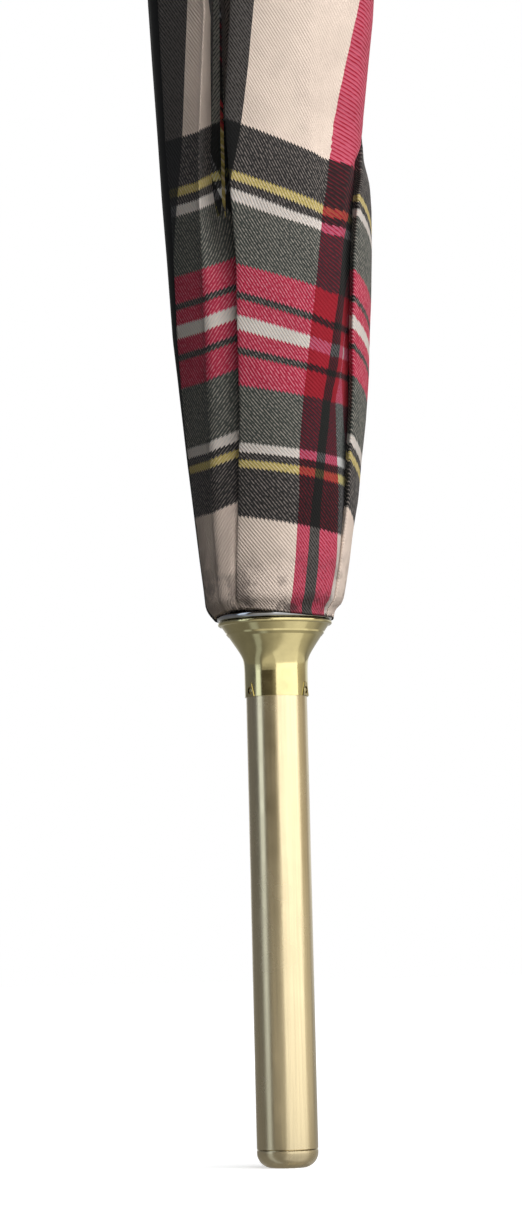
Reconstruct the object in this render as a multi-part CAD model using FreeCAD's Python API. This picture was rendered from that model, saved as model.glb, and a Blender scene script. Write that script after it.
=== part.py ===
# Stick umbrella, closed, standing on its tip: +Z runs up the shaft to the crook handle,
# and the origin is the centre of the tip's flat end. Millimetres throughout.
import FreeCAD, Part
import math
import os

V = FreeCAD.Vector
Z = V(0, 0, 1)

# ---- driving dimensions -------------------------------------------------------------
RIBS = 8
STEP = 360.0 / RIBS                 # angle from one rib to the next
FIRST_RIB = 14.0                    # where the first rib stands round the shaft
BETWEEN = FIRST_RIB + STEP / 2      # springs and stop pin stand midway between two ribs

SLIP = 0.02                         # radial clearance of fitted parts that don't move
RUN = 0.10                          # radial clearance of the runner on the shaft
RIVET_FIT = 0.06                    # radial clearance of the stretcher ears on the rivet
AIR = 0.30                          # clearance between parts that move past each other
SEAM = 0.10                         # open joint line between two fitted metal parts

SHAFT_R, SHAFT_WALL, SHAFT_FOOT = 5.0, 1.0, 11.5
FERRULE_WALL = 1.03                 # ferrule sleeve on the shaft
FERRULE_SEAM_Z = 3.5                # joint line of the end cap
SPIGOT_DROP = 0.25                  # how far the sleeve is turned down inside the cap's neck
TIP_CORNER_R = 3.0

FERRULE_LENGTH = 92.6               # bare ferrule, from its flat end to the cap's neck
NECK_LENGTH, NECK_WALL = 5.0, 0.48
FLARE_HEIGHT, FLARE_OUT, CAP_SHEET = 9.6, 4.7, 0.45
FLARE_BEND_UP, FLARE_BEND_SOFT = 2.8, 1.15     # where the flare turns out of the neck, how softly
CAP_LIP_R = 0.45
CAP_STEP_BELOW, CAP_STEP_H, CAP_STEP_OUT = 2.1, 0.5, 0.16
CAP_PINS, CAP_PIN_R, CAP_PIN_UP, CAP_PIN_TURN = 3, 0.5, 1.15, -145.0
CAP_PIN_STAND = 0.08                # how far the pins stand out of the neck
CAP_HOLE_R = 0.72                   # punched hole round each pin
CAP_PAD_W, CAP_PAD_TOP_W, CAP_PAD_H, CAP_PAD_OUT = 2.5, 1.2, 2.8, 0.16
DISC_OVER_LIP = 0.25                # how far the crown disc's bead stands out over the cap's lip

PIVOT_R = 7.5                       # every wire ring and rivet stands at this radius
NOTCH_ABOVE_BRIM = 5.8              # notch wire above the cap's brim
RIB_LENGTH = 600.0                  # notch wire to rib end
RIB_TO_JOINT = 245.0                # notch wire to the rib's rivet
RUNNER_BELOW_END = 30.0             # runner wire below the rib ends when shut
OPEN_DEG = 72.0                     # rib angle from the shaft, fully open

WIRE_R = 0.5
RIB_W, RIB_DEPTH, RIB_SHEET, RIB_ABOVE_PIVOT = 3.0, 2.6, 0.5, 1.5
STRETCH_W, STRETCH_DEPTH, STRETCH_SHEET = 2.6, 2.4, 0.5
TANG_W, EYE_R, BORE_R, TANG_LENGTH = 2.0, 1.45, 0.65, 13.0
LUG_W, LUG_R, RIVET_R, RIVET_HEAD_R = 1.0, 1.1, 0.5, 0.95
HOOK_W, HOOK_BORE_R, HOOK_MOUTH = 1.6, 0.62, 1.12

NOTCH_R, NOTCH_FLOOR, NOTCH_BASE, NOTCH_TOP = 9.4, 2.2, 2.2, 5.0
NOTCH_SLOT, RUNNER_SLOT = 2.6, 3.2
RUNNER_HEAD_R, RUNNER_LEN, RUNNER_FOOT_BELOW = 8.7, 57.5, 4.5
SLEEVE_WALL, GRIP_R, RUNNER_SPIGOT_WALL = 1.0, 7.6, 0.6

CATCH_R, SPRING_W, SPRING_LEN, SPRING_STRIP = 6.8, 1.2, 25.0, 0.75
SPRING_EYE_R, SPRING_PIN_R, SPRING_EYE_AT = 1.0, 0.4, 2.6
CATCH_BELOW_TOP = 8.6               # steep face of the hand spring below the runner's top
STOP_R = 0.6

CLOTH_BELLY_R, CLOTH_CROWN_R, CLOTH_END_R = 24.4, 12.2, 15.2
CLOTH_ABOVE_BRIM, CLOTH_BELLY_UP, CLOTH_SHORT = 0.8, 227.0, 9.0
CLOTH_RISE, CLOTH_FALL = 0.42, 1.8
CLOTH_THIN = 0.35                   # thinnest the folded canopy gets, at the crown
PLEAT = 2.2                         # how far each folded gore steps out over the next one
STRAP_BELOW_END, STRAP_H, STRAP_T = 91.0, 16.0, 0.9
SNAP_R, SNAP_SHANK_R, SNAP_AT = 5.2, 1.6, -118.0

HANDLE_R, HANDLE_GAP, GRIP_LENGTH, CROOK_R = 11.0, 6.0, 94.0, 42.0
HANDLE_SWELL = 0.35
NOSE_DROP, NOSE_R, NOSE_CAP_H, NOSE_PLUG_H = 34.0, 10.2, 8.6, 5.0
SHAFT_SHORT = 18.0                  # shaft ends this far below the top of the grip
HANDLE_STEP, COLLAR_UP, COLLAR_DOWN = 1.2, 8.0, 3.5
HANDLE_PIN_UP, HANDLE_PIN_R = 30.0, 1.25

FERRULE_R = SHAFT_R + SLIP + FERRULE_WALL
FERRULE_SPIGOT_R = FERRULE_R - SPIGOT_DROP
CAP_NECK_R = FERRULE_SPIGOT_R + SLIP + NECK_WALL
CAP_NECK_Z = FERRULE_LENGTH
CAP_NECK_TOP = CAP_NECK_Z + NECK_LENGTH
CAP_BRIM_Z = CAP_NECK_TOP + FLARE_HEIGHT
CAP_BRIM_R = CAP_NECK_R + FLARE_OUT
NOTCH_Z = CAP_BRIM_Z + NOTCH_ABOVE_BRIM
NOTCH_LOW = NOTCH_Z - NOTCH_FLOOR - NOTCH_BASE
RIB_IN = PIVOT_R + RIB_ABOVE_PIVOT
RIB_END = NOTCH_Z + RIB_LENGTH
JOINT_Z = NOTCH_Z + RIB_TO_JOINT
RUNNER_Z = RIB_END - RUNNER_BELOW_END
STRETCHER = RUNNER_Z - JOINT_Z      # rivet to runner wire
_phi = math.asin(RIB_TO_JOINT * math.sin(math.radians(OPEN_DEG)) / STRETCHER)
TRAVEL = RIB_TO_JOINT + STRETCHER - (
    RIB_TO_JOINT * math.cos(math.radians(OPEN_DEG)) + STRETCHER * math.cos(_phi))
RUNNER_FOOT = RUNNER_Z - RUNNER_FOOT_BELOW
RUNNER_TOP = RUNNER_FOOT + RUNNER_LEN
SPIGOT_R = SHAFT_R + RUN + RUNNER_SPIGOT_WALL
SLEEVE_R = SHAFT_R + RUN + SLEEVE_WALL
HAND_CATCH = RUNNER_TOP - CATCH_BELOW_TOP
TOP_CATCH = RUNNER_TOP - TRAVEL + AIR
STOP_Z = RUNNER_FOOT - TRAVEL - AIR - STOP_R
CLOTH_BOTTOM = CAP_BRIM_Z + CLOTH_ABOVE_BRIM
CLOTH_BELLY_Z = NOTCH_Z + CLOTH_BELLY_UP
CLOTH_TOP = RIB_END - CLOTH_SHORT
STRAP_Z = RIB_END - STRAP_BELOW_END
HANDLE_Z = RUNNER_TOP + HANDLE_GAP
GRIP_TOP = HANDLE_Z + GRIP_LENGTH
SHAFT_TOP = GRIP_TOP - SHAFT_SHORT
HANDLE_PIN_Z = HANDLE_Z + HANDLE_PIN_UP


# ---- building blocks ----------------------------------------------------------------
def outline(corners, at=None):
    """Closed wire through (a, b, radius) corners in the XZ plane, each corner rounded."""
    n = len(corners)
    ends, edges = [], []
    for i in range(n):
        p = V(corners[i][0], 0, corners[i][1])
        r = corners[i][2] if len(corners[i]) > 2 else 0.0
        a = V(corners[i - 1][0], 0, corners[i - 1][1]) - p
        b = V(corners[(i + 1) % n][0], 0, corners[(i + 1) % n][1]) - p
        a.normalize()
        b.normalize()
        if r <= 0:
            ends.append((p, p, None))
            continue
        half = a.getAngle(b) / 2
        back = r / math.tan(half)
        mid = a + b
        mid.normalize()
        centre = p + mid * (r / math.sin(half))
        ends.append((p + a * back, p + b * back, centre - mid * r))
    for i in range(n):
        start, stop, mid = ends[i]
        if mid is not None:
            edges.append(Part.Arc(start, mid, stop).toShape())
        nxt = ends[(i + 1) % n][0]
        if (nxt - stop).Length > 1e-6:
            edges.append(Part.makeLine(stop, nxt))
    wire = Part.Wire(Part.__sortEdges__(edges))
    if at is not None:
        wire.translate(at)
    return wire


def turned(corners):
    """Solid of revolution about the shaft from (radius, height, corner radius) points."""
    return Part.Face(outline(corners)).revolve(V(0, 0, 0), Z, 360)


def plate(corners, width):
    """Plate of the given width, centred on the XZ plane, from (radius, height) corners."""
    face = Part.Face(outline(corners, V(0, -width / 2.0, 0)))
    return face.extrude(V(0, width, 0))


def disc(radius, width, r, z):
    """Round bar across the XZ plane, as an eye, a rivet or a pin."""
    return Part.makeCylinder(radius, width, V(r, -width / 2.0, z), V(0, 1, 0))


def box(r0, r1, width, z0, z1):
    return Part.makeBox(r1 - r0, width, z1 - z0, V(r0, -width / 2.0, z0))


def tube(r0, r1, z0, z1):
    ring = Part.makeCylinder(r1, z1 - z0, V(0, 0, z0))
    return ring.cut(Part.makeCylinder(r0, z1 - z0 + 2, V(0, 0, z0 - 1)))


def turn(shape, degrees):
    out = shape.copy()
    out.rotate(V(0, 0, 0), Z, degrees)
    return out


def around(shape, count=RIBS, start=0.0):
    return [turn(shape, start + i * 360.0 / count) for i in range(count)]


def one(shape):
    """The shape cleaned up, as a single solid."""
    shape = shape.removeSplitter()
    if len(shape.Solids) != 1:
        raise ValueError("expected one solid, got %d" % len(shape.Solids))
    return shape.Solids[0]


def save(name, shapes):
    shapes = shapes if isinstance(shapes, list) else [shapes]
    shape = shapes[0] if len(shapes) == 1 else Part.makeCompound(shapes)
    for solid in shape.Solids:
        if not solid.isValid():
            raise ValueError(name + " is not a valid solid")
    shape.exportStep("parts/%s.step" % name)


# ---- shaft, ferrule and open cap ----------------------------------------------------
def spring_slot(catch, up):
    """Slot that lets a catch spring out of the shaft; up is +1 when the leaf runs upwards."""
    z0, z1 = catch - up * 0.5, catch + up * (SPRING_LEN - 3.0)
    wide = SPRING_W + 2 * AIR
    return turn(box(SPRING_EYE_AT, SHAFT_R + 1, wide, min(z0, z1), max(z0, z1)), BETWEEN)


def shaft_tube():
    body = tube(SHAFT_R - SHAFT_WALL, SHAFT_R, SHAFT_FOOT, SHAFT_TOP)
    body = body.cut(spring_slot(HAND_CATCH, -1)).cut(spring_slot(TOP_CATCH, 1))
    for z in (HAND_CATCH - SPRING_LEN, TOP_CATCH + SPRING_LEN):
        body = body.cut(turn(disc(SPRING_PIN_R + SLIP, 4 * SHAFT_R, SPRING_EYE_AT, z), BETWEEN))
    body = body.cut(stop_bar(STOP_R + SLIP, 2 * SHAFT_R + 4))
    return one(body.cut(disc(HANDLE_PIN_R + SLIP, 4 * SHAFT_R, 0, HANDLE_PIN_Z)))


def ferrule_tube():
    low, bore, shoulder = FERRULE_SEAM_Z + SEAM, SHAFT_R + SLIP, CAP_NECK_Z - SEAM
    body = turned([(bore, low), (FERRULE_R - 0.12, low), (FERRULE_R, low + 0.12),
                   (FERRULE_R, shoulder), (FERRULE_SPIGOT_R, shoulder),
                   (FERRULE_SPIGOT_R, CAP_NECK_TOP + 1.4), (bore, CAP_NECK_TOP + 1.4)])
    for pin in cap_pin_blanks(CAP_PIN_R + SLIP):
        body = body.cut(pin)
    return one(body)


def ferrule_tip():
    r, spigot = FERRULE_R, SHAFT_R
    return one(turned([(0, 0), (r, 0, TIP_CORNER_R), (r, FERRULE_SEAM_Z, 0.12),
                       (spigot, FERRULE_SEAM_Z), (spigot, SHAFT_FOOT, 0.5), (0, SHAFT_FOOT)]))


def cap_pin_blanks(radius=CAP_PIN_R, stand=CAP_PIN_STAND):
    root = SHAFT_R + SLIP + 0.18
    length = CAP_NECK_R + stand - root
    bar = Part.makeCylinder(radius, length, V(root, 0, CAP_NECK_Z + CAP_PIN_UP), V(1, 0, 0))
    return around(bar, CAP_PINS, CAP_PIN_TURN)


def cap_pads():
    """Stamped pads on the neck, wide at its edge and narrower above, one round each pin."""
    back, w, top, h = CAP_NECK_R - NECK_WALL / 2, CAP_PAD_W / 2, CAP_PAD_TOP_W / 2, CAP_PAD_H
    up = CAP_NECK_Z + h - top
    edges = [Part.makeLine(V(back, -w, CAP_NECK_Z), V(back, w, CAP_NECK_Z)),
             Part.makeLine(V(back, w, CAP_NECK_Z), V(back, top, up)),
             Part.Arc(V(back, top, up), V(back, 0, up + top), V(back, -top, up)).toShape(),
             Part.makeLine(V(back, -top, up), V(back, -w, CAP_NECK_Z))]
    pad = Part.Face(Part.Wire(edges)).extrude(V(CAP_NECK_R + CAP_PAD_OUT - back, 0, 0))
    return around(pad, CAP_PINS, CAP_PIN_TURN)


def flare_radius(z):
    """The cap opens out of its neck in a soft bend, then nearly straight up to the brim."""
    def rise(up):
        past = up - FLARE_BEND_UP
        return past + math.hypot(past, FLARE_BEND_SOFT)
    share = (rise(z - CAP_NECK_TOP) - rise(0)) / (rise(FLARE_HEIGHT) - rise(0))
    return CAP_NECK_R + FLARE_OUT * share


def flare(offset):
    """Points of the cap's concave flare; offset moves it inwards by the sheet thickness."""
    heights = [CAP_NECK_TOP + FLARE_HEIGHT * i / 12.0 for i in range(13)]
    return [V(flare_radius(z) - offset, 0, z) for z in heights]


def crown_cap():
    outer, inner = flare(0.0), flare(CAP_SHEET)
    neck = FERRULE_SPIGOT_R + SLIP
    curve_out, curve_in = Part.BSplineCurve(), Part.BSplineCurve()
    curve_out.interpolate(outer)
    inner[0] = V(neck, 0, CAP_NECK_TOP)
    curve_in.interpolate(inner)
    rim = [V(neck, 0, CAP_NECK_Z), V(CAP_NECK_R, 0, CAP_NECK_Z), outer[0]]
    edges = [Part.makeLine(rim[0], rim[1]), Part.makeLine(rim[1], rim[2]), curve_out.toShape(),
             Part.makeLine(outer[-1], inner[-1]), curve_in.toShape(),
             Part.makeLine(inner[0], rim[0])]
    body = Part.Face(Part.Wire(Part.__sortEdges__(edges))).revolve(V(0, 0, 0), Z, 360)
    lip = Part.makeTorus(CAP_BRIM_R - 0.08, CAP_LIP_R, V(0, 0, CAP_BRIM_Z))
    z = CAP_BRIM_Z - CAP_STEP_BELOW
    at = flare_radius(z)
    step = turned([(at - 0.3, z - CAP_STEP_H), (at + CAP_STEP_OUT, z, 0.08),
                   (at + CAP_STEP_OUT + 0.12, z + CAP_STEP_H, 0.05), (at - 0.1, z + CAP_STEP_H)])
    body = body.fuse(lip).fuse(step)
    for pad in cap_pads():
        body = body.fuse(pad)
    for hole in cap_pin_blanks(CAP_HOLE_R, 2 * CAP_PAD_OUT):
        body = body.cut(hole)
    return one(body)


def cap_pins():
    pins = []
    for pin in cap_pin_blanks():
        ends = [e for e in pin.Edges if e.Length < 6 and e.Curve.TypeId == "Part::GeomCircle"]
        far = max(ends, key=lambda e: math.hypot(e.Curve.Center.x, e.Curve.Center.y))
        pins.append(pin.makeFillet(0.4 * CAP_PIN_R, [far]))
    return pins


def crown_disc():
    """Moulded black disc that closes the cap's mouth; its round bead lies on the cap's lip."""
    r, low = CAP_BRIM_R - 1.4, CAP_BRIM_Z - 0.2
    seat, bead = CAP_BRIM_Z + CAP_LIP_R + SEAM, CAP_BRIM_R + DISC_OVER_LIP
    return one(turned([(SHAFT_R + SLIP, low), (r, low, 0.3), (r, seat), (bead, seat, 0.35),
                       (bead, NOTCH_LOW, 0.35), (SHAFT_R + SLIP, NOTCH_LOW)]))


# ---- notch and runner ---------------------------------------------------------------
def slots(width, r0, r1, z0, z1):
    return around(box(r0, r1, width, z0, z1), RIBS, FIRST_RIB)


def wire_groove(z, outer):
    groove = tube(PIVOT_R, outer, z - WIRE_R - SLIP, z + WIRE_R + SLIP)
    return groove.fuse(Part.makeTorus(PIVOT_R, WIRE_R + SLIP, V(0, 0, z)))


def notch():
    low = NOTCH_LOW
    body = turned([(SHAFT_R + SLIP, low), (NOTCH_R - 1.0, low, 0.4), (NOTCH_R, low + 1.4, 0.5),
                   (NOTCH_R, NOTCH_Z + NOTCH_TOP - 1.0, 0.6), (NOTCH_R - 1.6, NOTCH_Z + NOTCH_TOP, 0.5),
                   (SHAFT_R + SLIP, NOTCH_Z + NOTCH_TOP)])
    for cut in slots(NOTCH_SLOT, PIVOT_R - EYE_R - AIR, NOTCH_R + 1, NOTCH_Z - NOTCH_FLOOR,
                     NOTCH_Z + NOTCH_TOP + 1):
        body = body.cut(cut)
    return one(body.cut(wire_groove(NOTCH_Z, NOTCH_R + 1)))


def wire_ring(z):
    return Part.makeTorus(PIVOT_R, WIRE_R, V(0, 0, z))


def runner_crown():
    bore, core = SHAFT_R + RUN, PIVOT_R - STRETCH_DEPTH / 2 - AIR
    z0, z1 = RUNNER_FOOT, RUNNER_Z + 3.6
    body = turned([(bore, z0), (RUNNER_HEAD_R - 1.0, z0, 0.4), (RUNNER_HEAD_R, z0 + 1.6, 0.6),
                   (RUNNER_HEAD_R, z1 - 1.2, 0.5), (RUNNER_HEAD_R - 1.2, z1 + 0.9, 0.5),
                   (SPIGOT_R, z1 + 0.9), (SPIGOT_R, z1 + 6.0, 0.15), (bore, z1 + 6.0)])
    for cut in slots(RUNNER_SLOT, core, RUNNER_HEAD_R + 1, z0 - 1, z1 - 0.1):
        body = body.cut(cut)
    return one(body.cut(wire_groove(RUNNER_Z, RUNNER_HEAD_R + 1)))


def runner_sleeve():
    z0, z1, bore = RUNNER_Z + 4.6, RUNNER_TOP, SHAFT_R + RUN    # z0 rests on the crown's shoulder
    body = turned([(SPIGOT_R + SLIP, z0), (SLEEVE_R + 0.5, z0, 0.2), (SLEEVE_R + 0.5, z0 + 3.0, 0.3),
                   (SLEEVE_R, z0 + 3.6, 0.3), (SLEEVE_R, z1 - 9.0, 0.4), (GRIP_R, z1 - 7.4, 0.6),
                   (GRIP_R, z1 - 4.9, 0.5), (GRIP_R - 0.7, z1 - 4.3, 0.3),
                   (GRIP_R - 0.7, z1 - 3.5, 0.3), (GRIP_R, z1 - 2.9, 0.5), (GRIP_R, z1, 0.8),
                   (bore, z1, 0.3), (bore, z0 + 5.3), (SPIGOT_R + SLIP, z0 + 5.3)])
    low = HAND_CATCH - 0.62 * SPRING_LEN
    window = box(SHAFT_R / 2, GRIP_R + 1, SPRING_W + 1.0, low, HAND_CATCH + AIR)
    return one(body.cut(turn(window, BETWEEN)))


def catch_spring(catch, up):
    """Bent leaf whose hump stands out of the shaft; the steep face is at the catch height."""
    far = catch + up * SPRING_LEN
    t, eye = SPRING_STRIP, SPRING_EYE_AT
    pts = [(eye + SPRING_EYE_R - 0.05, far), (CATCH_R, catch + up * 1.6), (CATCH_R, catch),
           (3.1, catch), (3.1, catch + up * t), (CATCH_R - t, catch + up * t),
           (eye + SPRING_EYE_R - 0.05 - t, far)]
    leaf = plate(pts, SPRING_W).fuse(disc(SPRING_EYE_R, SPRING_W, eye, far))
    leaf = leaf.cut(disc(SPRING_PIN_R + RIVET_FIT, SPRING_W + 2, eye, far))
    return turn(one(leaf), BETWEEN)


def spring_pins():
    reach = 2 * math.sqrt(SHAFT_R ** 2 - SPRING_EYE_AT ** 2) - 0.3
    return [turn(disc(SPRING_PIN_R, reach, SPRING_EYE_AT, z), BETWEEN)
            for z in (HAND_CATCH - SPRING_LEN, TOP_CATCH + SPRING_LEN)]


def stop_bar(radius, length):
    return turn(Part.makeCylinder(radius, length, V(-length / 2, 0, STOP_Z), V(1, 0, 0)), BETWEEN)


def stop_pin():
    bar = stop_bar(STOP_R, 2 * SHAFT_R + 3.2)
    return bar.makeFillet(0.2, [e for e in bar.Edges if e.Curve.TypeId == "Part::GeomCircle"])


# ---- one rib, its tip and its stretcher, drawn on +X and turned into place ----------
def rib():
    out, half = RIB_IN + RIB_DEPTH, RIB_W / 2
    foot = NOTCH_Z + TANG_LENGTH
    channel = box(RIB_IN, out, RIB_W, foot, RIB_END)
    channel = channel.cut(box(RIB_IN - 1, out - RIB_SHEET, RIB_W - 2 * RIB_SHEET,
                              foot - 1, RIB_END + 1))
    long = [e for e in channel.Edges if e.BoundBox.ZLength > RIB_LENGTH / 2
            and abs(e.BoundBox.XMax - out) < 1e-6 and abs(abs(e.BoundBox.YMax) - half) < 1e-6]
    channel = channel.makeFillet(0.35, long)
    tang = plate([(PIVOT_R - 0.9, NOTCH_Z), (PIVOT_R + 1.1, NOTCH_Z), (PIVOT_R + 1.1, NOTCH_Z + 5, 3),
                  (out - 0.3, foot, 6), (out - 0.3, foot + 8),
                  (out - 1.5, foot + 8), (RIB_IN + 0.2, foot + 2, 5),
                  (PIVOT_R - 0.9, NOTCH_Z + 6, 4)], TANG_W)
    tang = tang.fuse(disc(EYE_R, TANG_W, PIVOT_R, NOTCH_Z))
    lug = plate([(PIVOT_R, JOINT_Z - LUG_R), (out - 0.3, JOINT_Z - 1.6), (out - 0.3, JOINT_Z + 1.6),
                 (PIVOT_R, JOINT_Z + LUG_R)], LUG_W).fuse(disc(LUG_R, LUG_W, PIVOT_R, JOINT_Z))
    body = channel.fuse(tang).fuse(lug)
    body = body.cut(disc(BORE_R, TANG_W + 2, PIVOT_R, NOTCH_Z))
    return one(body.cut(disc(RIVET_R + 0.005, LUG_W + 2, PIVOT_R, JOINT_Z)))


def rivet():
    grip = STRETCH_W + 4 * RIVET_FIT
    pin = disc(RIVET_R, grip + 0.1, PIVOT_R, JOINT_Z)
    for side in (-1, 1):
        base = V(PIVOT_R, side * grip / 2, JOINT_Z)
        head = Part.makeCone(RIVET_HEAD_R, 0.6 * RIVET_HEAD_R, 0.34, base, V(0, side, 0))
        pin = pin.fuse(head)
    return one(pin)


def rib_tip():
    """Acorn over the end of the rib, with the hole that takes the canopy's thread."""
    axis, low, top = RIB_IN + RIB_DEPTH / 2, RIB_END - CLOTH_SHORT + 1.0, RIB_END + 6.5
    body = Part.Face(outline([(0, low), (2.35, low, 0.3), (2.35, low + 2.2, 0.3), (2.05, low + 3.0, 0.3),
                              (2.05, RIB_END - 1.0, 0.3), (2.6, RIB_END, 0.4), (2.6, top - 3.4, 1.6),
                              (1.5, top, 0.8), (0, top)])).revolve(V(0, 0, 0), Z, 360)
    body.translate(V(axis, 0, 0))
    body = body.cut(box(RIB_IN - SLIP, RIB_IN + RIB_DEPTH + SLIP, RIB_W + 2 * SLIP, low - 1, RIB_END))
    return one(body.cut(disc(0.45, 8, axis, RIB_END + 3.4)))


def stretcher():
    out, t = PIVOT_R + STRETCH_DEPTH / 2, STRETCH_SHEET
    inn, half = PIVOT_R - STRETCH_DEPTH / 2, STRETCH_DEPTH / 2
    body = box(inn, out, STRETCH_W, JOINT_Z, RUNNER_Z - 7)
    body = body.fuse(disc(half, STRETCH_W, PIVOT_R, JOINT_Z))
    body = body.cut(box(inn - 1, out - t, STRETCH_W - 2 * t, JOINT_Z - 3, RUNNER_Z - 12))
    body = body.cut(box(inn - 1, out + 1, STRETCH_W - 2 * t, JOINT_Z - 3, JOINT_Z + 2.4))
    hook = plate([(inn, RUNNER_Z - 14), (out, RUNNER_Z - 14), (out, RUNNER_Z), (inn, RUNNER_Z)], HOOK_W)
    hook = hook.fuse(disc(half, HOOK_W, PIVOT_R, RUNNER_Z))
    body = body.fuse(hook)
    body = body.cut(disc(HOOK_BORE_R, HOOK_W + 2, PIVOT_R, RUNNER_Z))
    body = body.cut(box(inn - 1, PIVOT_R, HOOK_W + 2, RUNNER_Z - HOOK_MOUTH / 2,
                        RUNNER_Z + HOOK_MOUTH / 2))
    return one(body.cut(disc(RIVET_R + RIVET_FIT, STRETCH_W + 2, PIVOT_R, JOINT_Z)))


# ---- canopy, folded and rolled ------------------------------------------------------
def cloth_radius(z):
    """Outer radius of the rolled canopy: a quick rise from the crown, then a long taper."""
    if z <= CLOTH_BELLY_Z:
        s = (z - CLOTH_BOTTOM) / (CLOTH_BELLY_Z - CLOTH_BOTTOM)
        return CLOTH_CROWN_R + (CLOTH_BELLY_R - CLOTH_CROWN_R) * s ** CLOTH_RISE
    s = (z - CLOTH_BELLY_Z) / (CLOTH_TOP - CLOTH_BELLY_Z)
    return CLOTH_END_R + (CLOTH_BELLY_R - CLOTH_END_R) * (1 - s ** CLOTH_FALL)


def polar(r, degrees, z):
    a = math.radians(degrees)
    return V(r * math.cos(a), r * math.sin(a), z)


def gore_section(z):
    """One gore's share of the roll: a hollow sector whose outside steps out like a tile."""
    inner, outer = RIB_IN + RIB_DEPTH + AIR, cloth_radius(z)
    if outer < inner + CLOTH_THIN:
        inner = outer - CLOTH_THIN
    step = min(PLEAT, 0.45 * (outer - inner))
    gap = math.degrees(AIR / 2 / inner)
    a0, a1 = gap, STEP - gap
    mid = (a0 + a1) / 2
    bulge = 0.10 * (outer - inner)
    top = Part.BSplineCurve()
    top.interpolate([polar(outer, a0, z), polar(outer - 0.30 * step + bulge, a0 + 0.35 * (a1 - a0), z),
                     polar(outer - 0.62 * step + bulge, a0 + 0.7 * (a1 - a0), z),
                     polar(outer - step, a1, z)])
    edges = [top.toShape(), Part.makeLine(polar(outer - step, a1, z), polar(inner, a1, z)),
             Part.Arc(polar(inner, a1, z), polar(inner, mid, z), polar(inner, a0, z)).toShape(),
             Part.makeLine(polar(inner, a0, z), polar(outer, a0, z))]
    return Part.Wire(edges)


def gore():
    """Loft through sections that crowd together at the crown, where the roll opens fast."""
    shares = [(i / 12.0) ** 1.9 for i in range(13)]
    zs = [CLOTH_BOTTOM + (CLOTH_TOP - CLOTH_BOTTOM) * s for s in shares]
    zs += [STRAP_Z, STRAP_Z + STRAP_H]
    return Part.makeLoft([gore_section(z) for z in sorted(zs)], True, False)


def strap_radius():
    return cloth_radius(STRAP_Z) + AIR


def tie_strap():
    """Strap once round the roll, its end lapped over and held by the snap."""
    r, lap = strap_radius(), 34.0
    band = tube(r, r + STRAP_T, STRAP_Z, STRAP_Z + STRAP_H)
    wedge = turned([(r + STRAP_T - 0.2, STRAP_Z), (r + 2 * STRAP_T + 0.1, STRAP_Z, 0.2),
                    (r + 2 * STRAP_T + 0.1, STRAP_Z + STRAP_H, 0.2), (r + STRAP_T - 0.2, STRAP_Z + STRAP_H)])
    big = 3 * r
    keep = Part.makePolygon([V(0, 0, STRAP_Z - 1), polar(big, SNAP_AT - lap, STRAP_Z - 1),
                             polar(big, SNAP_AT, STRAP_Z - 1), polar(big, SNAP_AT + lap, STRAP_Z - 1),
                             V(0, 0, STRAP_Z - 1)])
    body = band.fuse(wedge.common(Part.Face(keep).extrude(V(0, 0, STRAP_H + 2))))
    return one(body.cut(snap_hole()))


def snap_place(shape):
    out = shape.copy()
    out.rotate(V(0, 0, 0), V(0, 1, 0), 90)
    out.translate(V(0, 0, STRAP_Z + STRAP_H / 2))
    return turn(out, SNAP_AT)


def snap_hole():
    r = strap_radius()
    return snap_place(Part.makeCylinder(SNAP_SHANK_R + SLIP, 2 * STRAP_T + 4, V(0, 0, r - 2)))


def snap_cap():
    base = strap_radius() + 2 * STRAP_T + 0.1
    face = Part.Face(outline([(0, base - 0.15), (SNAP_R, base - 0.15, 0.1), (SNAP_R, base + 0.7, 0.4),
                              (SNAP_R - 1.4, base + 1.5, 1.2), (0, base + 1.7)]))
    dome = face.revolve(V(0, 0, 0), Z, 360)
    shank = Part.makeCylinder(SNAP_SHANK_R, 1.9, V(0, 0, base - 1.6))
    return one(snap_place(dome.fuse(shank)).cut(tube_cut(base)))


def tube_cut(radius):
    """The strap's own round, so the snap's foot sits on it."""
    return Part.makeCylinder(radius, STRAP_H * 2, V(0, 0, STRAP_Z - STRAP_H / 2)).cut(
        snap_place(Part.makeCylinder(SNAP_SHANK_R, 3 * radius, V(0, 0, -5))))


# ---- handle -------------------------------------------------------------------------
def crook_path():
    """Centre points, lean angles and radii along the crook, from the grip to the nose."""
    pts = []
    foot = HANDLE_Z + COLLAR_UP
    for s in [i / 5.0 for i in range(5)]:
        pts.append((V(0, 0, foot + s * (GRIP_TOP - foot)), 0,
                    HANDLE_R + HANDLE_SWELL * math.sin(math.pi * s)))
    for s in [i / 10.0 for i in range(11)]:
        a = math.pi * s
        pts.append((V(CROOK_R * (1 - math.cos(a)), 0, GRIP_TOP + CROOK_R * math.sin(a)),
                    math.degrees(a), HANDLE_R + (NOSE_R - HANDLE_R) * 0.7 * s))
    for s in (0.5, 1.0):
        pts.append((V(2 * CROOK_R, 0, GRIP_TOP - s * NOSE_DROP), 180,
                    HANDLE_R + (NOSE_R - HANDLE_R) * (0.7 + 0.3 * s)))
    return pts


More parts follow.
